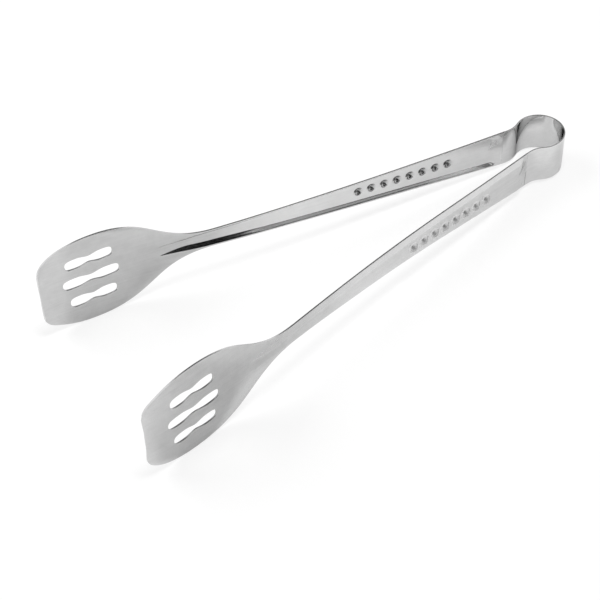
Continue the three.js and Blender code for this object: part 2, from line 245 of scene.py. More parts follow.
def channel_half_width_at(distance):
    """From the middle line to the top of the channel's wall."""
    full = half_width_at(min(distance, NECK_DISTANCE)) - RIM_WIDTH
    narrowing = ease(distance, NECK_DISTANCE, CHANNEL_FADE_END)
    return full + (CHANNEL_POINT_WIDTH / 2 - full) * narrowing


def pressed_ramp(inside, run, depth):
    """Height of a wall with rounded foot and top, at a distance inside its edge."""
    if depth <= 0:
        return 0
    if inside > run / 2:
        return depth - pressed_ramp(run - inside, run, depth)
    angle = math.atan2(depth, run)
    past = inside + PRESS_RADIUS * math.tan(angle / 2)
    if past <= 0:
        return 0
    if past < PRESS_RADIUS * math.sin(angle):
        return PRESS_RADIUS - math.sqrt(PRESS_RADIUS**2 - past**2)
    return inside * math.tan(angle)


def channel_offset(distance, height):
    """How far the channel stands out of the sheet's plane."""
    from_side = channel_half_width_at(distance) - abs(height)
    from_end = distance - CHANNEL_START
    inside = min(from_side, from_end)
    if from_side < CHANNEL_CORNER and from_end < CHANNEL_CORNER:
        reach = math.hypot(CHANNEL_CORNER - from_side, CHANNEL_CORNER - from_end)
        inside = CHANNEL_CORNER - reach
    share = ease(from_end - from_side, -CHANNEL_CORNER, CHANNEL_CORNER)
    run = CHANNEL_END_WALL + (wall_run_at(distance) - CHANNEL_END_WALL) * share
    return pressed_ramp(inside, run, CHANNEL_DEPTH * channel_fade(distance))


print("channel depth mm", round(channel_offset(NECK_DISTANCE / 2, 0) / MM, 2))

# %% [markdown]
# ## Grip dimples, the blade's dish and the droop
# Eight round dimples in a row give the thumb its grip. They are pressed outwards, so that they are
# bumps outside and pits inside. The blade is not quite flat either: a faint dish makes it stiff
# and gives its reflections their slow change of tone. Seen from the side, the handle arches a
# little, and the blade droops towards the edge that the tongs lie on.

# %% Dimples, dish and droop
DIMPLE_COUNT = 8
DIMPLE_PITCH = 7.7 * MM
FIRST_DIMPLE = 32.9 * MM
DIMPLE_RADIUS = 3.6 * MM
DIMPLE_HEIGHT = 2 * MM
BLADE_DISH = 0.8 * MM
DISH_EASE = 25 * MM
HANDLE_ARCH = 0.8 * MM
BLADE_DROOP = math.tan(math.radians(4.1))
DROOP_START = 190 * MM
DROOP_BEND = 24 * MM


def dimple_offset(distance, height):
    """Height of the dimple that is nearest, over the channel's floor."""
    index = round((distance - FIRST_DIMPLE) / DIMPLE_PITCH)
    index = min(max(index, 0), DIMPLE_COUNT - 1)
    away = math.hypot(distance - FIRST_DIMPLE - index * DIMPLE_PITCH, height)
    share = min(away / DIMPLE_RADIUS, 1)
    return DIMPLE_HEIGHT * (1 + math.cos(math.pi * share)) / 2


def dish_offset(distance, height):
    """Height of the blade's faint dish."""
    depth = BLADE_DISH * ease(distance, CHANNEL_FADE_START, CHANNEL_FADE_END + DISH_EASE)
    return depth * (1 - (height / half_width_at(distance)) ** 2)


def droop_at(distance):
    """How far the middle line has sunk towards the edge that the tongs lie on."""
    past = max(distance - DROOP_START, 0)
    in_bend = min(past, DROOP_BEND)
    arch = HANDLE_ARCH * math.sin(math.pi * min(max(distance / DROOP_START, 0), 1)) ** 2
    return BLADE_DROOP * (in_bend**2 / (2 * DROOP_BEND) + past - in_bend) - arch


def press_offset(distance, height):
    """How far the pressed sheet stands outwards of its flat place."""
    pressed = channel_offset(distance, height) + dimple_offset(distance, height)
    return pressed + dish_offset(distance, height)


print("dimple top mm", round(press_offset(FIRST_DIMPLE, 0) / MM, 2))

# %% [markdown]
# ## The flat blank
# A grid is the right start for a sheet that will be pressed, because every wall, arc and dimple
# then has its own rows and columns. The rows lie close together where the form changes quickly,
# at the channel's end, the dimples and the tip. The columns follow the channel's walls along the
# handle and spread evenly over the blade.
#
# At the seam with the bow, the arm's end was polished shut in its upper part. Below that it stands
# a hair open, so that its edge is set back and rounded only there.

# %% Rows and columns of the blank
SEAM_GAP = 0.025 * MM
EDGE_GUARD = 0.35 * MM
LAST_DIMPLE = FIRST_DIMPLE + (DIMPLE_COUNT - 1) * DIMPLE_PITCH
DIMPLE_MARGIN = 4 * MM
FADE_LEAD = 8 * MM
FADE_MARGIN = 6 * MM
LIP_LENGTH = 1.6 * MM
# Each mark is a distance from the seam and the step between the rows that follow it.
ROW_MARKS = (
    (SEAM_GAP, 0.45 * MM),
    (CHANNEL_END_WALL, 1.5 * MM),
    (FIRST_DIMPLE - DIMPLE_MARGIN, 0.42 * MM),
    (LAST_DIMPLE + DIMPLE_MARGIN, 2.2 * MM),
    (CHANNEL_FADE_START - FADE_LEAD, 1 * MM),
    (CHANNEL_FADE_END + FADE_MARGIN, 1.4 * MM),
    (ARM_LENGTH - TIP_CURL, 0.8 * MM),
    (ARM_LENGTH - LIP_LENGTH, 0.3 * MM),
    (ARM_LENGTH, 0.3 * MM),
)
ARC_STEPS = 3
FINE_COLUMNS = 8
FINE_SHARE = 0.38
WEB_COLUMNS = 7
SPREAD_LEAD = 5 * MM


def row_distances():
    """Distances from the seam at which the blank has a row."""
    rows = []
    for (start, step), (end, _) in zip(ROW_MARKS, ROW_MARKS[1:]):
        count = max(1, round((end - start) / step))
        rows += [start + (end - start) * index / count for index in range(count)]
    return rows + [ARM_LENGTH]


def column_heights(distance):
    """Heights of the columns at a distance, from the lower edge to the upper one.

    On the handle they follow the rim, the wall with its two arcs and the floor. On the blade they
    are even. In between, one pattern flows into the other.
    """
    half = half_width_at(distance)
    wall_top = min(channel_half_width_at(distance), half - RIM_WIDTH)
    run = wall_run_at(distance)
    angle = math.atan2(CHANNEL_DEPTH, run)
    foot = PRESS_RADIUS * math.tan(angle / 2)
    arc = [PRESS_RADIUS * math.sin(angle) * step / ARC_STEPS - foot for step in range(ARC_STEPS + 1)]
    wall = arc + [run / 2] + [run - step for step in reversed(arc)]
    web = wall_top - wall[-1]
    handle = [half] + [wall_top - step for step in wall]
    handle += [web * (1 - (1 - FINE_SHARE) * step / WEB_COLUMNS) for step in range(1, WEB_COLUMNS + 1)]
    handle += [web * FINE_SHARE * (1 - step / FINE_COLUMNS) for step in range(1, FINE_COLUMNS + 1)]
    last = len(handle) - 1
    blade = [half] + [(half - EDGE_GUARD) * (last - step) / (last - 1) for step in range(1, last + 1)]
    spread = ease(distance, CHANNEL_FADE_END - SPREAD_LEAD, WIDEST)
    upper = [a + (b - a) * spread for a, b in zip(handle, blade)]
    return [-height for height in upper] + upper[-2::-1]


rows = row_distances()
columns = [column_heights(distance) for distance in rows]
print("rows", len(rows), "columns", len(columns[0]))

# %% Blank with its thickness and rounded edges
SHEET = 0.9 * MM
EDGE_ROUND = 0.15 * MM
EDGE_SEGMENTS = 2
SQUARE_ANGLE = math.radians(60)
SEAM_OPEN_BELOW = 1 * MM
SEAM_OPEN_EASE = 3 * MM
SEAM_OPENING = 0.3 * MM


def pushed(bm, faces, way, drop_old=True):
    """Extrudes faces along a way, without the old faces where they would end up inside."""
    geom = bmesh.ops.extrude_face_region(bm, geom=faces)["geom"]
    verts = [item for item in geom if isinstance(item, bmesh.types.BMVert)]
    bmesh.ops.translate(bm, verts=verts, vec=way)
    if drop_old:
        bmesh.ops.delete(bm, geom=faces, context="FACES")
    return verts


def face_outwards(bm):
    """Turns all faces outwards on a shape whose points have moved."""
    bm.normal_update()
    bmesh.ops.recalc_face_normals(bm, faces=bm.faces[:])


def in_closed_seam(edge):
    """Whether an edge lies in the upper part of the seam, which was polished shut."""
    return all(vert.co.x < 2 * SEAM_GAP and vert.co.y > -SEAM_OPEN_BELOW for vert in edge.verts)


def seam_opening(height):
    """How far the arm's end stands back from the seam, in its lower part."""
    return SEAM_OPENING * ease(-height, SEAM_OPEN_BELOW, SEAM_OPEN_BELOW + SEAM_OPEN_EASE)


def flat_blank():
    """The blank as a flat plate: X is the distance from the seam, Y the height on the sheet."""
    bm = bmesh.new()
    last_row, last_column = len(rows) - 1, len(columns[0]) - 1
    bmesh.ops.create_grid(bm, x_segments=last_row, y_segments=last_column, size=1)
    for vert in bm.verts:
        row = round((vert.co.x + 1) / 2 * last_row)
        column = round((vert.co.y + 1) / 2 * last_column)
        height = columns[row][column]
        opening = seam_opening(height) if row == 0 else 0
        vert.co = (rows[row] + opening, height, -SHEET / 2)
    pushed(bm, bm.faces[:], (0, 0, SHEET), drop_old=False)
    face_outwards(bm)
    square = [edge for edge in bm.edges if edge.calc_face_angle(0) > SQUARE_ANGLE]
    square = [edge for edge in square if not in_closed_seam(edge)]
    bmesh.ops.bevel(
        bm, geom=square, offset=EDGE_ROUND, offset_type="OFFSET", segments=EDGE_SEGMENTS,
        profile=0.5, affect="EDGES", clamp_overlap=True, material=-1,
    )
    return bm


blank = flat_blank()
print("blank faces", len(blank.faces))

# %% [markdown]
# ## The drain slots
# Each blade has three long slots with a waist in the middle. A punch pierces them while the sheet
# is still flat, so that the same is done here: a cutter with the slot's shape is taken away from
# the flat plate by a Boolean. The cutter widens at both faces, which leaves the fine broken edge
# that polishing gives a punched hole.

# %% Punch for a slot
SLOT_PITCH = 13.5 * MM
SLOT_CENTRE_FROM_TIP = 28 * MM
SLOT_CENTRE = ARM_LENGTH - SLOT_CENTRE_FROM_TIP
MIDDLE_SLOT = 30.8 * MM
SIDE_SLOT = 25.8 * MM
LOBE_WIDTH = 6.9 * MM
WAIST_WIDTH = 4.4 * MM
WAIST_EASE_SHARE = 0.08
LOBE_EASE_SHARE = 0.14
LOBE_CENTRE_SHARE = 0.26
LOBE_END_SHARE = 0.45
END_ROUND_SHARE = 0.42
SLOT_SAMPLES = 10
SLOT_CHAMFER = 0.15 * MM
CUTTER_REACH = 0.15 * MM
MERGE_DISTANCE = 0.001 * MM


def slot_quarter(length):
    """A quarter of a slot's outline, from the waist to its end."""
    waist, lobe = WAIST_WIDTH / 2, LOBE_WIDTH / 2
    inner = geometry.interpolate_bezier(
        Vector((0, waist)), Vector((length * WAIST_EASE_SHARE, waist)),
        Vector((length * LOBE_EASE_SHARE, lobe)), Vector((length * LOBE_CENTRE_SHARE, lobe)),
        SLOT_SAMPLES,
    )
    outer = geometry.interpolate_bezier(
        Vector((length * LOBE_CENTRE_SHARE, lobe)), Vector((length * LOBE_END_SHARE, lobe)),
        Vector((length / 2, LOBE_WIDTH * END_ROUND_SHARE)), Vector((length / 2, 0)),
        SLOT_SAMPLES,
    )
    return inner + outer[1:]


def slot_cutter(length, height):
    """Closed cutter that widens towards both faces of the plate."""
    bm = bmesh.new()
    chain = [bm.verts.new((point.x, point.y, 0)) for point in slot_quarter(length)]
    for start, end in zip(chain, chain[1:]):
        bm.edges.new((start, end))
    for axis in ("X", "Y"):
        geom = bm.verts[:] + bm.edges[:]
        bmesh.ops.mirror(bm, geom=geom, axis=axis, merge_dist=MERGE_DISTANCE)
    bmesh.ops.remove_doubles(bm, verts=bm.verts[:], dist=MERGE_DISTANCE)
    bmesh.ops.contextual_create(bm, geom=bm.edges[:])
    straight = SHEET / 2 - SLOT_CHAMFER
    bmesh.ops.translate(bm, verts=bm.verts[:], vec=(0, 0, -straight))
    pushed(bm, bm.faces[:], (0, 0, 2 * straight), drop_old=False)
    flare = SLOT_CHAMFER + CUTTER_REACH
    widen = Vector((1 + 2 * flare / length, 1 + 2 * flare / LOBE_WIDTH, 1))
    for side in (-1, 1):
        caps = [face for face in bm.faces if len(face.verts) > 4]
        caps = [face for face in caps if face.calc_center_median().z * side > 0]
        mouth = pushed(bm, caps, (0, 0, side * flare))
        bmesh.ops.scale(bm, verts=mouth, vec=widen)
    bmesh.ops.translate(bm, verts=bm.verts[:], vec=(SLOT_CENTRE, height, 0))
    face_outwards(bm)
    return bm


print("waist of a slot mm", round(WAIST_WIDTH / MM, 1), "of", round(LOBE_WIDTH / MM, 1))

# %% Pierce the three slots
def new_object(name, bm):
    """An object at the origin from a bmesh."""
    mesh = bpy.data.meshes.new(name)
    bm.to_mesh(mesh)
    bm.free()
    obj = bpy.data.objects.new(name, mesh)
    bpy.context.scene.collection.objects.link(obj)
    return obj


def pierced(plate):
    """The plate's bmesh with the three slots taken out."""
    punches = [
        new_object("punch_middle", slot_cutter(MIDDLE_SLOT, 0)),
        new_object("punch_upper", slot_cutter(SIDE_SLOT, SLOT_PITCH)),
        new_object("punch_lower", slot_cutter(SIDE_SLOT, -SLOT_PITCH)),
    ]
    for punch in punches:
        cut = plate.modifiers.new(punch.name, "BOOLEAN")
        cut.operation = "DIFFERENCE"
        cut.solver = "EXACT"
        cut.object = punch
    bpy.context.view_layer.update()
    result = bmesh.new()
    result.from_mesh(plate.evaluated_get(bpy.context.evaluated_depsgraph_get()).data)
    for item in [plate, *punches]:
        mesh = item.data
        bpy.data.objects.remove(item)
        bpy.data.meshes.remove(mesh)
    return result


pierced_blank = pierced(new_object("blank", blank))
print("pierced faces", len(pierced_blank.faces))

# %% [markdown]
# ## Pressing an arm
# Pressing moves every point of the flat plate to its place on the formed sheet. A point above the
# middle surface goes out along the surface's own normal, so that the sheet keeps its thickness on
# the walls and in the dimples. Three marks are stored on the way for the materials: how much of a
# point lies on the cut edge, how far a dimple has stretched the sheet there, and whether the point
# is on the inner face.

# %% Press the flat plate
SLOPE_STEP = 0.02 * MM


def surface_slopes(distance, height):
    """How steeply the pressed surface rises along the arm and across it."""
    along = press_offset(distance + SLOPE_STEP, height) - press_offset(distance - SLOPE_STEP, height)
    across = press_offset(distance, height + SLOPE_STEP) - press_offset(distance, height - SLOPE_STEP)
    return along / (2 * SLOPE_STEP), across / (2 * SLOPE_STEP)


def pressed_point(flat):
    """Where a point of the flat plate ends up on the formed sheet."""
    along, across = surface_slopes(flat.x, flat.y)
    normal = Vector((-along, -across, 1)).normalized()
    middle = Vector((flat.x, flat.y, press_offset(flat.x, flat.y)))
    formed = middle + flat.z * normal
    place, heading = run_at(formed.x)
    return Vector((
        place.x - math.sin(heading) * formed.z,
        place.y + math.cos(heading) * formed.z,
        formed.y - droop_at(formed.x),
    ))


def press_arm(plate):
    """The left arm in the row frame, with its three marks."""
    bm = plate.copy()
    cut_edge = bm.verts.layers.float.new("cut_edge")
    stretched = bm.verts.layers.float.new("stretched")
    inside = bm.verts.layers.float.new("inside")
    for vert in bm.verts:
        flat = vert.co
        vert[cut_edge] = min((SHEET / 2 - abs(flat.z)) / EDGE_ROUND, 1)
        vert[stretched] = dimple_offset(flat.x, flat.y) / DIMPLE_HEIGHT
        vert[inside] = 1 if flat.z < 0 else 0
        vert.co = flat_to_row @ pressed_point(flat)
    face_outwards(bm)
    return bm


left_arm_bm = press_arm(pierced_blank)
pierced_blank.free()
print("arm volume mm3", round(left_arm_bm.calc_volume() / MM**3, 1))

# %% [markdown]
# ## Two arms from one
# The tongs' arms are a mirrored pair. Mirroring turns a closed shape inside out, so that the
# normals are worked out again on the copy. Only edges sharper than the rounded rims stay sharp in
# the shading, which keeps the chamfers of the slots crisp and the pressed arcs smooth.

# %% The arms as pieces
SHARP_ANGLE = math.radians(35)


def mirrored(bm):
    """The same shape on the other side of the XZ plane."""
    copy = bm.copy()
    bmesh.ops.transform(copy, matrix=Matrix.Scale(-1, 4, (0, 1, 0)), verts=copy.verts[:])
    face_outwards(copy)
    return copy


def finished_piece(name, bm):
    """A smooth shaded piece with its true corners kept sharp."""
    obj = new_object(name, bm)
    obj.data.shade_smooth()
    obj.data.set_sharp_from_angle(angle=SHARP_ANGLE)
    return obj


right_arm = finished_piece("right_arm", mirrored(left_arm_bm))
left_arm = finished_piece("left_arm", left_arm_bm)
print("triangles per arm", sum(len(face.vertices) - 2 for face in left_arm.data.polygons))

# %% [markdown]
# ## The spring bow
# The bow is a plain strip of the same sheet, bent round a mandrel into a loop and bent back at
# both ends to meet the arms. Spinning the strip's cross section round the loop's axis, and then
# round the centre of the reverse bend, makes it as the bender does. It is made in two halves that
# meet at the back of the loop.

# %% Half of the bow
LOOP_DIAMETER = 27.5 * MM
LOOP_RADIUS = (LOOP_DIAMETER - SHEET) / 2
REVERSE_RADIUS = 14 * MM
BAND_COLUMNS = 10
STEP_ANGLE = math.radians(3)
FORWARD = Vector((math.cos(HANDLE_HEADING), math.sin(HANDLE_HEADING)))
ACROSS = Vector((-math.sin(HANDLE_HEADING), math.cos(HANDLE_HEADING)))


def band_section():
    """Cross section of the strip at the back of the loop, with rounded corners."""
    bm = bmesh.new()
    bmesh.ops.create_grid(bm, x_segments=1, y_segments=BAND_COLUMNS, size=1)
    inner = BAND_WIDTH / 2 - EDGE_GUARD
    for vert in bm.verts:
        height = vert.co.y * inner * BAND_COLUMNS / (BAND_COLUMNS - 2)
        if abs(vert.co.y) > 1 - 1 / BAND_COLUMNS:
            height = math.copysign(BAND_WIDTH / 2, vert.co.y)
        vert.co = (vert.co.x * SHEET / 2 - LOOP_RADIUS, 0, height)
    corners = [vert for vert in bm.verts if abs(vert.co.z) > inner + EDGE_GUARD / 2]
    bmesh.ops.bevel(
        bm, geom=corners, offset=EDGE_ROUND, offset_type="OFFSET", segments=EDGE_SEGMENTS,
        profile=0.5, affect="VERTICES", material=-1,
    )
    return bm


def swept(bm, geom, centre, angle):
    """Spins the end of the strip round an upright axis and gives the new end."""
    steps = max(1, math.ceil(abs(angle) / STEP_ANGLE))
    spun = bmesh.ops.spin(
        bm, geom=geom, cent=centre.to_3d(), axis=(0, 0, 1), angle=angle, steps=steps,
        use_duplicate=False,
    )
    return spun["geom_last"]


def bow_half():
    """The half of the bow on the left arm's side, from the back of the loop to the seam."""
    bend_height = SEAM.dot(ACROSS) + REVERSE_RADIUS
    bend_along = math.sqrt((LOOP_RADIUS + REVERSE_RADIUS) ** 2 - bend_height**2)
    bend_centre = FORWARD * bend_along + ACROSS * bend_height
    meet = math.atan2(bend_centre.y, bend_centre.x)
    bm = band_section()
    end = swept(bm, bm.verts[:] + bm.edges[:] + bm.faces[:], Vector((0, 0)), meet - math.pi)
    end = swept(bm, end, bend_centre, HANDLE_HEADING + math.pi / 2 - meet)
    length = SEAM.dot(FORWARD) - bend_along - SEAM_GAP
    faces = [item for item in end if isinstance(item, bmesh.types.BMFace)]
    pushed(bm, faces, (FORWARD * length).to_3d())
    bmesh.ops.remove_doubles(bm, verts=bm.verts[:], dist=MERGE_DISTANCE)
    face_outwards(bm)
    return bm


print("radius of the loop's middle line mm", round(LOOP_RADIUS / MM, 2))

# %% Both halves of the bow
def mark_band(bm):
    """The same marks as on the arms: the long edges are cut, the side towards the axis is inner."""
    cut_edge = bm.verts.layers.float.new("cut_edge")
    bm.verts.layers.float.new("stretched")
    inside = bm.verts.layers.float.new("inside")
    bm.normal_update()
    for vert in bm.verts:
        to_axis = Vector((-vert.co.x, -vert.co.y, 0))
        vert[inside] = 1 if vert.normal.dot(to_axis) > 0 else 0
        depth = abs(vert.co.z) - BAND_WIDTH / 2 + EDGE_ROUND
        vert[cut_edge] = min(max(depth / EDGE_ROUND, 0), 1)


bow_bm = bow_half()
mark_band(bow_bm)
bmesh.ops.transform(bow_bm, matrix=flat_to_row, verts=bow_bm.verts[:])
print("bow half volume mm3", round(bow_bm.calc_volume() / MM**3, 1))
right_bow = finished_piece("spring_bow_right_half", mirrored(bow_bm))
left_bow = finished_piece("spring_bow_left_half", bow_bm)

# %% [markdown]
# ## Satin steel
# Polished and then finely brushed stainless steel is a grey metal with a soft gloss. Its looks come
# mostly from reflections, and small things break them up: fine scratches along the sheet, faint
# cloudy smudges, brighter rubbed rims, a darker sheared edge, dulled dimples with painted shade on
# their bumps and in their pits, and a lighter handle and blade lip. Each of these effects is a node
# group that puts out masks, and each steel weighs them with its own values.

# %% Helpers for node groups
def new_group(name, inputs, outputs):
    """A shader node group, the values that it is given and the results that it puts out."""
    group = bpy.data.node_groups.new(name, "ShaderNodeTree")
    for label, kind, value in inputs:
        item = group.interface.new_socket(label, in_out="INPUT", socket_type=kind)
        if kind == "NodeSocketFloat":
            item.default_value = value
    for label in outputs:
        group.interface.new_socket(label, in_out="OUTPUT", socket_type="NodeSocketFloat")
    start = group.nodes.new("NodeGroupInput")
    end = group.nodes.new("NodeGroupOutput")
    return group, start.outputs, end.inputs


def maths(tree, operation, first, second=None, third=None):
    """A math node with links or numbers on its inputs."""
    node = tree.nodes.new("ShaderNodeMath")
    node.operation = operation
    for socket, value in zip(node.inputs, (first, second, third)):
        if isinstance(value, (int, float)):
            socket.default_value = value
        elif value is not None:
            tree.links.new(value, socket)
    return node.outputs[0]


def noise(tree, vector, scale, detail, roughness=0.5):
    """A noise texture's value."""
    node = tree.nodes.new("ShaderNodeTexNoise")
    tree.links.new(vector, node.inputs["Vector"])
    if isinstance(scale, (int, float)):
        node.inputs["Scale"].default_value = scale
    else:
        tree.links.new(scale, node.inputs["Scale"])
    node.inputs["Detail"].default_value = detail
    node.inputs["Roughness"].default_value = roughness
    return node.outputs["Fac"]


# %% Brushed grain
GRAIN_SCALE = 900
GRAIN_STRETCH = 0.02
SCRATCH_DETAIL = 3
FINE_SCRATCH_SHARE = 0.7
COARSE_SCRATCH_SCALE = 0.23
COARSE_SCRATCH_DETAIL = 2


def grain_group():
    """Fine scratches that run along X: their height, and how they change the gloss."""
    group, given, result = new_group(
        "brushed_grain",
        [("Vector", "NodeSocketVector", None), ("Scale", "NodeSocketFloat", GRAIN_SCALE),
         ("Stretch", "NodeSocketFloat", GRAIN_STRETCH)],
        ["Height", "Gloss Change"],
    )
    squeeze = group.nodes.new("ShaderNodeCombineXYZ")
    group.links.new(given["Stretch"], squeeze.inputs["X"])
    squeeze.inputs["Y"].default_value = 1
    squeeze.inputs["Z"].default_value = 1
    stretched = group.nodes.new("ShaderNodeVectorMath")
    stretched.operation = "MULTIPLY"
    group.links.new(given["Vector"], stretched.inputs[0])
    group.links.new(squeeze.outputs[0], stretched.inputs[1])
    fine = noise(group, stretched.outputs[0], given["Scale"], SCRATCH_DETAIL)
    coarse_scale = maths(group, "MULTIPLY", given["Scale"], COARSE_SCRATCH_SCALE)
    coarse = noise(group, stretched.outputs[0], coarse_scale, COARSE_SCRATCH_DETAIL)
    coarse = maths(group, "MULTIPLY", coarse, 1 - FINE_SCRATCH_SHARE)
    height = maths(group, "MULTIPLY_ADD", fine, FINE_SCRATCH_SHARE, coarse)
    group.links.new(height, result["Height"])
    group.links.new(maths(group, "SUBTRACT", height, 0.5), result["Gloss Change"])
    return group


GRAIN = grain_group()
print("group", GRAIN.name)

# %% Smudges of handling
SMUDGE_SCALE = 38
CLOUD_DETAIL = 3
CLOUD_ROUGHNESS = 0.55
FLECK_SCALE = 6
FLECK_DETAIL = 2


def smudge_group():
    """Cloudy patches in the gloss and in the tone, as wiping and handling leave them."""
    group, given, result = new_group(
        "handling_smudges",
        [("Vector", "NodeSocketVector", None), ("Scale", "NodeSocketFloat", SMUDGE_SCALE)],
        ["Cloud", "Fleck"],
    )
    cloud = noise(group, given["Vector"], given["Scale"], CLOUD_DETAIL, CLOUD_ROUGHNESS)
    group.links.new(maths(group, "SUBTRACT", cloud, 0.5), result["Cloud"])
    fleck_scale = maths(group, "MULTIPLY", given["Scale"], FLECK_SCALE)
    fleck = noise(group, given["Vector"], fleck_scale, FLECK_DETAIL)
    group.links.new(maths(group, "SUBTRACT", fleck, 0.5), result["Fleck"])
    return group


SMUDGES = smudge_group()
print("group", SMUDGES.name)

# %% Marks of the sheet
EDGE_BLEND = 0.1
EDGE_FALL = 2
RIM_GAIN = 4
DIMPLE_GAIN = 1.5


def marks_group():
    """Masks: the sheared edge, the rubbed rim, a dimple's dulled bump and its pit, both painted
    darker.
    """
    group, given, result = new_group(
        "sheet_marks",
        [("Cut Edge", "NodeSocketFloat", 0), ("Stretched", "NodeSocketFloat", 0),
         ("Inside", "NodeSocketFloat", 0)],
        ["Sheared", "Rubbed", "Dulled And Shaded", "Painted Pit Shade"],
    )
    sheared = maths(group, "SMOOTH_MIN", given["Cut Edge"], 1, EDGE_BLEND)
    group.links.new(maths(group, "POWER", sheared, EDGE_FALL), result["Sheared"])
    falling = maths(group, "SUBTRACT", 1, given["Cut Edge"])
    rubbed = maths(group, "MULTIPLY", given["Cut Edge"], falling)
    group.links.new(maths(group, "MULTIPLY", rubbed, RIM_GAIN), result["Rubbed"])
    outside = maths(group, "SUBTRACT", 1, given["Inside"])
    whole = maths(group, "MINIMUM", maths(group, "MULTIPLY", given["Stretched"], DIMPLE_GAIN), 1)
    group.links.new(maths(group, "MULTIPLY", whole, outside), result["Dulled And Shaded"])
    group.links.new(maths(group, "MULTIPLY", whole, given["Inside"]), result["Painted Pit Shade"])
    return group


MARKS = marks_group()
print("group", MARKS.name)

# %% Lighter stretches along an arm
def lighter_stretch_group():
    """1 along X up to Start and 0 from End on, or the other way round where End comes first."""
    group, given, result = new_group(
        "lighter_stretch",
        [("Vector", "NodeSocketVector", None), ("Start", "NodeSocketFloat", 0),
         ("End", "NodeSocketFloat", 1)],
        ["Lightened"],
    )
    parts = group.nodes.new("ShaderNodeSeparateXYZ")
    group.links.new(given["Vector"], parts.inputs[0])
    fade = group.nodes.new("ShaderNodeMapRange")
    fade.interpolation_type = "SMOOTHSTEP"
    group.links.new(parts.outputs["X"], fade.inputs["Value"])
    group.links.new(given["Start"], fade.inputs["From Min"])
    group.links.new(given["End"], fade.inputs["From Max"])
    fade.inputs["To Min"].default_value = 1
    fade.inputs["To Max"].default_value = 0
    group.links.new(fade.outputs["Result"], result["Lightened"])
    return group


LIGHTER_STRETCH = lighter_stretch_group()
print("group", LIGHTER_STRETCH.name)

# %% [markdown]
# ## Two steels
# The arms were brushed after they were pressed, and the spring strip came already finished from
# the roll, a little smoother. So one recipe with different values makes both. The grain has to run
# along each arm, and the arms point in different directions, so that a Mapping node turns the
# pattern to the arm's own heading.
#
# Two short lists say how far each mask changes the tone and the roughness. The handle and the
# lip of the blade are given a lighter tone. The dimples' bumps are dulled and painted darker, and
# their pits are painted darker still: both darkenings are painted shade.
#
# Inside the loop, steel mirrors steel again and again, and every mirror image is a little darker.
# A dark tint at grazing angles strengthens that on the bow's inner face, which gives the loop the
# deep shadows of the real one.

# %% Helpers for the steels
def placed_group(tree, group, **values):
    """A group node with links or numbers on its inputs."""
    node = tree.nodes.new("ShaderNodeGroup")
    node.node_tree = group
    for label, value in values.items():
        socket = node.inputs[label.replace("_", " ")]
        if isinstance(value, (int, float)):
            socket.default_value = value
        else:
            tree.links.new(value, socket)
    return node.outputs


def changed(tree, start, masks, changes):
    """A value that each mask changes by its own amount."""
    value = start
    for label, amount in changes.items():
        value = maths(tree, "MULTIPLY_ADD", masks[label], amount, value)
    return value


# %% Values of the steels
ARM_TONE = 0.55
HANDLE_TONE = 0.7
TIP_TONE = 0.62
BOW_TONE = 0.73
ARM_ROUGHNESS = 0.22
INSIDE_ROUGHNESS = 0.15
BOW_ROUGHNESS = 0.1
GRAZING = 0.9
LOOP_GRAZING = 0.2
TONE_CHANGES = {
    "Cloud": 0.11,
    "Fleck": 0.09,
    "Lighter Lip": TIP_TONE - ARM_TONE,
    "Gloss Change": 0.14,
    "Rubbed": 0.08,
    "Sheared": -0.16,
    # The dimples' bumps are dulled, and painted darker as painted shade.
    "Dulled And Shaded": -0.18,
    # Painted shade in the dimples' pits.
    "Painted Pit Shade": -0.38,
}
ROUGHNESS_CHANGES = {
    "Cloud": 0.14,
    "Fleck": 0.05,
    "Gloss Change": 0.1,
    "Dulled And Shaded": 0.3,
    "Inside": INSIDE_ROUGHNESS - ARM_ROUGHNESS,
    "Sheared": 0.12,
}
BOW_GRAIN_SCALE = 1100
ARM_GRAIN_DEPTH = 0.35
BOW_GRAIN_DEPTH = 0.2
GRAIN_HEIGHT = 0.02 * MM
# Stretches along X in which the handle and the lip of the blade get a lighter tone.
HANDLE_LIGHTER_UP_TO = 10 * MM
HANDLE_LIGHTER_ENDS = 75 * MM
LIP_LIGHTER_FROM = 146 * MM
LIP_LIGHTER_ENDS = 128 * MM
print("tone of an arm", ARM_TONE, "of its handle", HANDLE_TONE, "of the bow", BOW_TONE)


# %% Steel material
def steel_masks(tree, vector, grain_scale):
    """Every mask of the steel by its name."""
    marks = {}
    for label in ("cut_edge", "stretched", "inside"):
        node = tree.nodes.new("ShaderNodeAttribute")
        node.attribute_name = label
        marks[label] = node.outputs["Fac"]
    grain = placed_group(tree, GRAIN, Vector=vector, Scale=grain_scale)
    smudge = placed_group(tree, SMUDGES, Vector=vector)
    sheet = placed_group(
        tree, MARKS, Cut_Edge=marks["cut_edge"], Stretched=marks["stretched"],
        Inside=marks["inside"],
    )
    handle_lighter = placed_group(tree, LIGHTER_STRETCH, Vector=vector, Start=HANDLE_LIGHTER_UP_TO, End=HANDLE_LIGHTER_ENDS)
    lip_lighter = placed_group(tree, LIGHTER_STRETCH, Vector=vector, Start=LIP_LIGHTER_FROM, End=LIP_LIGHTER_ENDS)
    masks = {socket.name: socket for group in (grain, smudge, sheet, handle_lighter) for socket in group}
    masks["Lighter Lip"] = lip_lighter["Lightened"]
    masks["Inside"] = marks["inside"]
    return masks


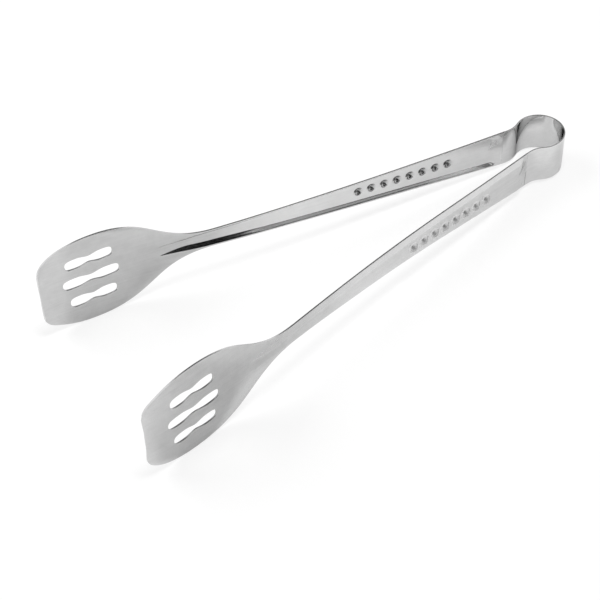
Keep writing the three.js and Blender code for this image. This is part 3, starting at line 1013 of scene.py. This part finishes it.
def steel(name, heading, tone, lighter_tone, roughness, grain_scale, grain_depth):
    """Satin steel whose grain runs along a heading, with its masks."""
    material = bpy.data.materials.new(name)
    material.use_nodes = True
    tree = material.node_tree
    shader = tree.nodes["Principled BSDF"]
    place = tree.nodes.new("ShaderNodeTexCoord")
    turned = tree.nodes.new("ShaderNodeMapping")
    turned.inputs["Rotation"].default_value = (0, REST_TILT, -heading)
    tree.links.new(place.outputs["Object"], turned.inputs["Vector"])
    masks = steel_masks(tree, turned.outputs["Vector"], grain_scale)
    shade = changed(tree, tone, masks, {**TONE_CHANGES, "Lightened": lighter_tone - tone})
    colour = tree.nodes.new("ShaderNodeCombineColor")
    for label in ("Red", "Green", "Blue"):
        tree.links.new(shade, colour.inputs[label])
    tree.links.new(colour.outputs["Color"], shader.inputs["Base Color"])
    rough = changed(tree, roughness, masks, ROUGHNESS_CHANGES)
    tree.links.new(rough, shader.inputs["Roughness"])
    shader.inputs["Metallic"].default_value = 1
    shader.inputs["Specular Tint"].default_value = (GRAZING, GRAZING, GRAZING, 1)
    bump = tree.nodes.new("ShaderNodeBump")
    bump.inputs["Strength"].default_value = grain_depth
    bump.inputs["Distance"].default_value = GRAIN_HEIGHT
    tree.links.new(masks["Height"], bump.inputs["Height"])
    tree.links.new(bump.outputs["Normal"], shader.inputs["Normal"])
    return material, masks


# %% Steel of the arms
def arm_steel(side, heading):
    """The steel of one arm, whose grain follows the handle."""
    material, _ = steel(
        "arm_steel_" + side, heading, ARM_TONE, HANDLE_TONE, ARM_ROUGHNESS, GRAIN_SCALE,
        ARM_GRAIN_DEPTH,
    )
    return material


steels = {
    left_arm: arm_steel("left", HANDLE_HEADING),
    right_arm: arm_steel("right", -HANDLE_HEADING),
}
print("arm materials", [material.name for material in steels.values()])


# %% Steel of the bow
def bow_steel():
    """The bow's steel, whose inner face has darker reflections at grazing angles."""
    material, masks = steel(
        "bow_steel", 0, BOW_TONE, BOW_TONE, BOW_ROUGHNESS, BOW_GRAIN_SCALE, BOW_GRAIN_DEPTH,
    )
    tree = material.node_tree
    tint = changed(tree, GRAZING, masks, {"Inside": LOOP_GRAZING - GRAZING})
    tree.links.new(tint, tree.nodes["Principled BSDF"].inputs["Specular Tint"])
    return material


steels[left_bow] = bow_steel()
steels[right_bow] = steels[left_bow]
for piece, material in steels.items():
    piece.data.materials.append(material)
print("materials", sorted(material.name for material in set(steels.values())))

# %% [markdown]
# ## Riding
# Each arm rides on its own body. Both halves of the bow together stand for the one node of
# the solid model.

# %% Pieces on their bodies
for arm, bow, body, node in (
    (left_arm, left_bow, "left", "arm_left"),
    (right_arm, right_bow, "right", "arm_right"),
):
    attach(arm, body)
    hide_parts(node)
    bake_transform(bow)
    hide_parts("spring_bow")
    print(arm.name, "rides on", body, "and", bow.name, "bends from the bow to", body)

# %% [markdown]
# ## Camera
# The camera stands where the photographer's did: above the blades' side and turned, so that the
# front arm shows its outer face and the back arm its inner one. Its place, turn and focal length
# were found by laying the model's outline over the photograph's.

# %% Camera
CAMERA_PLACE = (0.27919, 0.48896, 0.64134)
CAMERA_TURN_DEG = (40.1946, 4.7056, 147.0951)
LENS_MM = 96.306
SENSOR_MM = 36
NEAREST_SEEN = 10 * MM

camera_data = bpy.data.cameras.new("camera")
camera_data.sensor_width = SENSOR_MM
camera_data.lens = LENS_MM
camera_data.clip_start = NEAREST_SEEN
camera = bpy.data.objects.new("camera", camera_data)
camera.location = CAMERA_PLACE
camera.rotation_euler = [math.radians(angle) for angle in CAMERA_TURN_DEG]
bpy.context.scene.collection.objects.link(camera)
bpy.context.scene.camera = camera
print("camera distance mm", round(camera.location.length / MM))

# %% [markdown]
# ## White table and soft light
# The tongs lie on a white table in a white room. The camera has to see the table as pure white
# with a faint shadow, so that a part of its white is a little light of its own there. Reflections
# see a plain white table with its full shadow, which is what darkens the inside of the loop. The
# world too is full white where it is seen, and much weaker where it only lights.
#
# Two lamps light the table. A steep one reaches the floor inside the loop, and a broad lower one
# at the picture's left throws the soft shadows. Reflections don't see the lamps themselves.

# %% World
def seen_rays(tree):
    """1 for a ray that the camera, a reflection or glass sends out, 0 for one that only lights."""
    rays = tree.nodes.new("ShaderNodeLightPath")
    seen = maths(tree, "MAXIMUM", rays.outputs["Is Camera Ray"], rays.outputs["Is Glossy Ray"])
    seen = maths(tree, "MAXIMUM", seen, rays.outputs["Is Transmission Ray"])
    straight = maths(tree, "LESS_THAN", rays.outputs["Diffuse Depth"], 0.5)
    return maths(tree, "MULTIPLY", seen, straight)


WORLD_LIGHT = 0.16

world = bpy.data.worlds.new("studio")
bpy.context.scene.world = world
world.use_nodes = True
world_tree = world.node_tree
background = world_tree.nodes["Background"]
strength = maths(world_tree, "MULTIPLY_ADD", seen_rays(world_tree), 1 - WORLD_LIGHT, WORLD_LIGHT)
world_tree.links.new(strength, background.inputs["Strength"])
background.inputs["Color"].default_value = (1, 1, 1, 1)
print("world light", WORLD_LIGHT)

# %% Table
TABLE_SIZE = 1.4
TABLE_WHITE = 0.95
WHITE_FOR_CAMERA = 0.3
GLOW = 0.03
GLOW_FOR_CAMERA = 0.72


def table_material():
    """White that is partly its own light where the camera looks at it."""
    material = bpy.data.materials.new("table_white")
    material.use_nodes = True
    tree = material.node_tree
    shader = tree.nodes["Principled BSDF"]
    camera_ray = tree.nodes.new("ShaderNodeLightPath").outputs["Is Camera Ray"]
    white = maths(tree, "MULTIPLY_ADD", camera_ray, WHITE_FOR_CAMERA - TABLE_WHITE, TABLE_WHITE)
    glow = maths(tree, "MULTIPLY_ADD", camera_ray, GLOW_FOR_CAMERA - GLOW, GLOW)
    tree.links.new(white, shader.inputs["Base Color"])
    tree.links.new(glow, shader.inputs["Emission Strength"])
    shader.inputs["Emission Color"].default_value = (1, 1, 1, 1)
    shader.inputs["Roughness"].default_value = 1
    shader.inputs["Specular IOR Level"].default_value = 0
    return material


table_bm = bmesh.new()
bmesh.ops.create_grid(table_bm, x_segments=1, y_segments=1, size=TABLE_SIZE / 2)
table = new_object("table", table_bm)
table.data.materials.append(table_material())
print("table mm", round(TABLE_SIZE / MM))

# %% Lamps
LAMP_DISTANCE = 1.3


def towards(azimuth, elevation, distance):
    """A place at a distance from the tongs, by its compass direction and height in degrees."""
    turn, lift = math.radians(azimuth), math.radians(elevation)
    flat = Vector((math.cos(turn), math.sin(turn), 0)) * math.cos(lift)
    return distance * (flat + Vector((0, 0, math.sin(lift))))


def soft_lamp(name, azimuth, elevation, size, watts):
    """A square area lamp that points at the tongs."""
    place = towards(azimuth, elevation, LAMP_DISTANCE)
    data = bpy.data.lights.new(name, "AREA")
    data.size = size
    data.energy = watts
    lamp = bpy.data.objects.new(name, data)
    lamp.location = place
    lamp.rotation_euler = (-place).to_track_quat("-Z", "Y").to_euler()
    lamp.visible_glossy = False
    bpy.context.scene.collection.objects.link(lamp)
    print(name, "at mm", [round(value / MM) for value in place])


soft_lamp("overhead_lamp", azimuth=145, elevation=79, size=0.42, watts=10.3)
soft_lamp("side_lamp", azimuth=-54, elevation=43, size=0.9, watts=9.3)

# %% [markdown]
# ## Dark flags for the reflections
# Shiny steel shows what is around it, and in a room that is white all round it would look like
# grey paper. A product photographer hangs dark flags outside the picture: here a long one on the
# camera's side, a grey one and a small dark one beside it, and one high behind the tongs. Only
# reflections see them, so that they draw the walls, dimples and edges of the steel and take no
# light from it.

# %% Flags
FLAG_DISTANCE = 1.5


def flag(name, azimuth, elevation, width, height, grey):
    """A flat card that faces the tongs and that only reflections see."""
    place = towards(azimuth, elevation, FLAG_DISTANCE)
    facing = place.to_track_quat("Z", "Y").to_matrix().to_4x4()
    bm = bmesh.new()
    bmesh.ops.create_grid(bm, x_segments=1, y_segments=1, size=0.5)
    bmesh.ops.scale(bm, verts=bm.verts[:], vec=(width, height, 1))
    bmesh.ops.transform(bm, matrix=Matrix.Translation(place) @ facing, verts=bm.verts[:])
    card = new_object(name, bm)
    material = bpy.data.materials.new(name)
    material.use_nodes = True
    shader = material.node_tree.nodes["Principled BSDF"]
    shader.inputs["Base Color"].default_value = (0, 0, 0, 1)
    shader.inputs["Specular IOR Level"].default_value = 0
    shader.inputs["Emission Color"].default_value = (grey, grey, grey, 1)
    shader.inputs["Emission Strength"].default_value = 1
    card.data.materials.append(material)
    card.visible_camera = False
    card.visible_diffuse = False
    card.visible_shadow = False
    print(name, "at mm", [round(value / MM) for value in place])


flag("dark_flag_camera_side", azimuth=50, elevation=20, width=4, height=1.1, grey=0.01)
flag("grey_flag_beside_it", azimuth=111, elevation=46, width=0.7, height=0.5, grey=0.4)
flag("dark_flag_below_it", azimuth=109, elevation=23, width=0.5, height=0.78, grey=0.01)
flag("dark_flag_behind", azimuth=-118, elevation=50, width=1.3, height=1.1, grey=0.14)

# %% [markdown]
# ## Finish
# The colours are shown as they are, without a film look.

# %% Finish
import json

bpy.context.scene.view_settings.view_transform = "Standard"
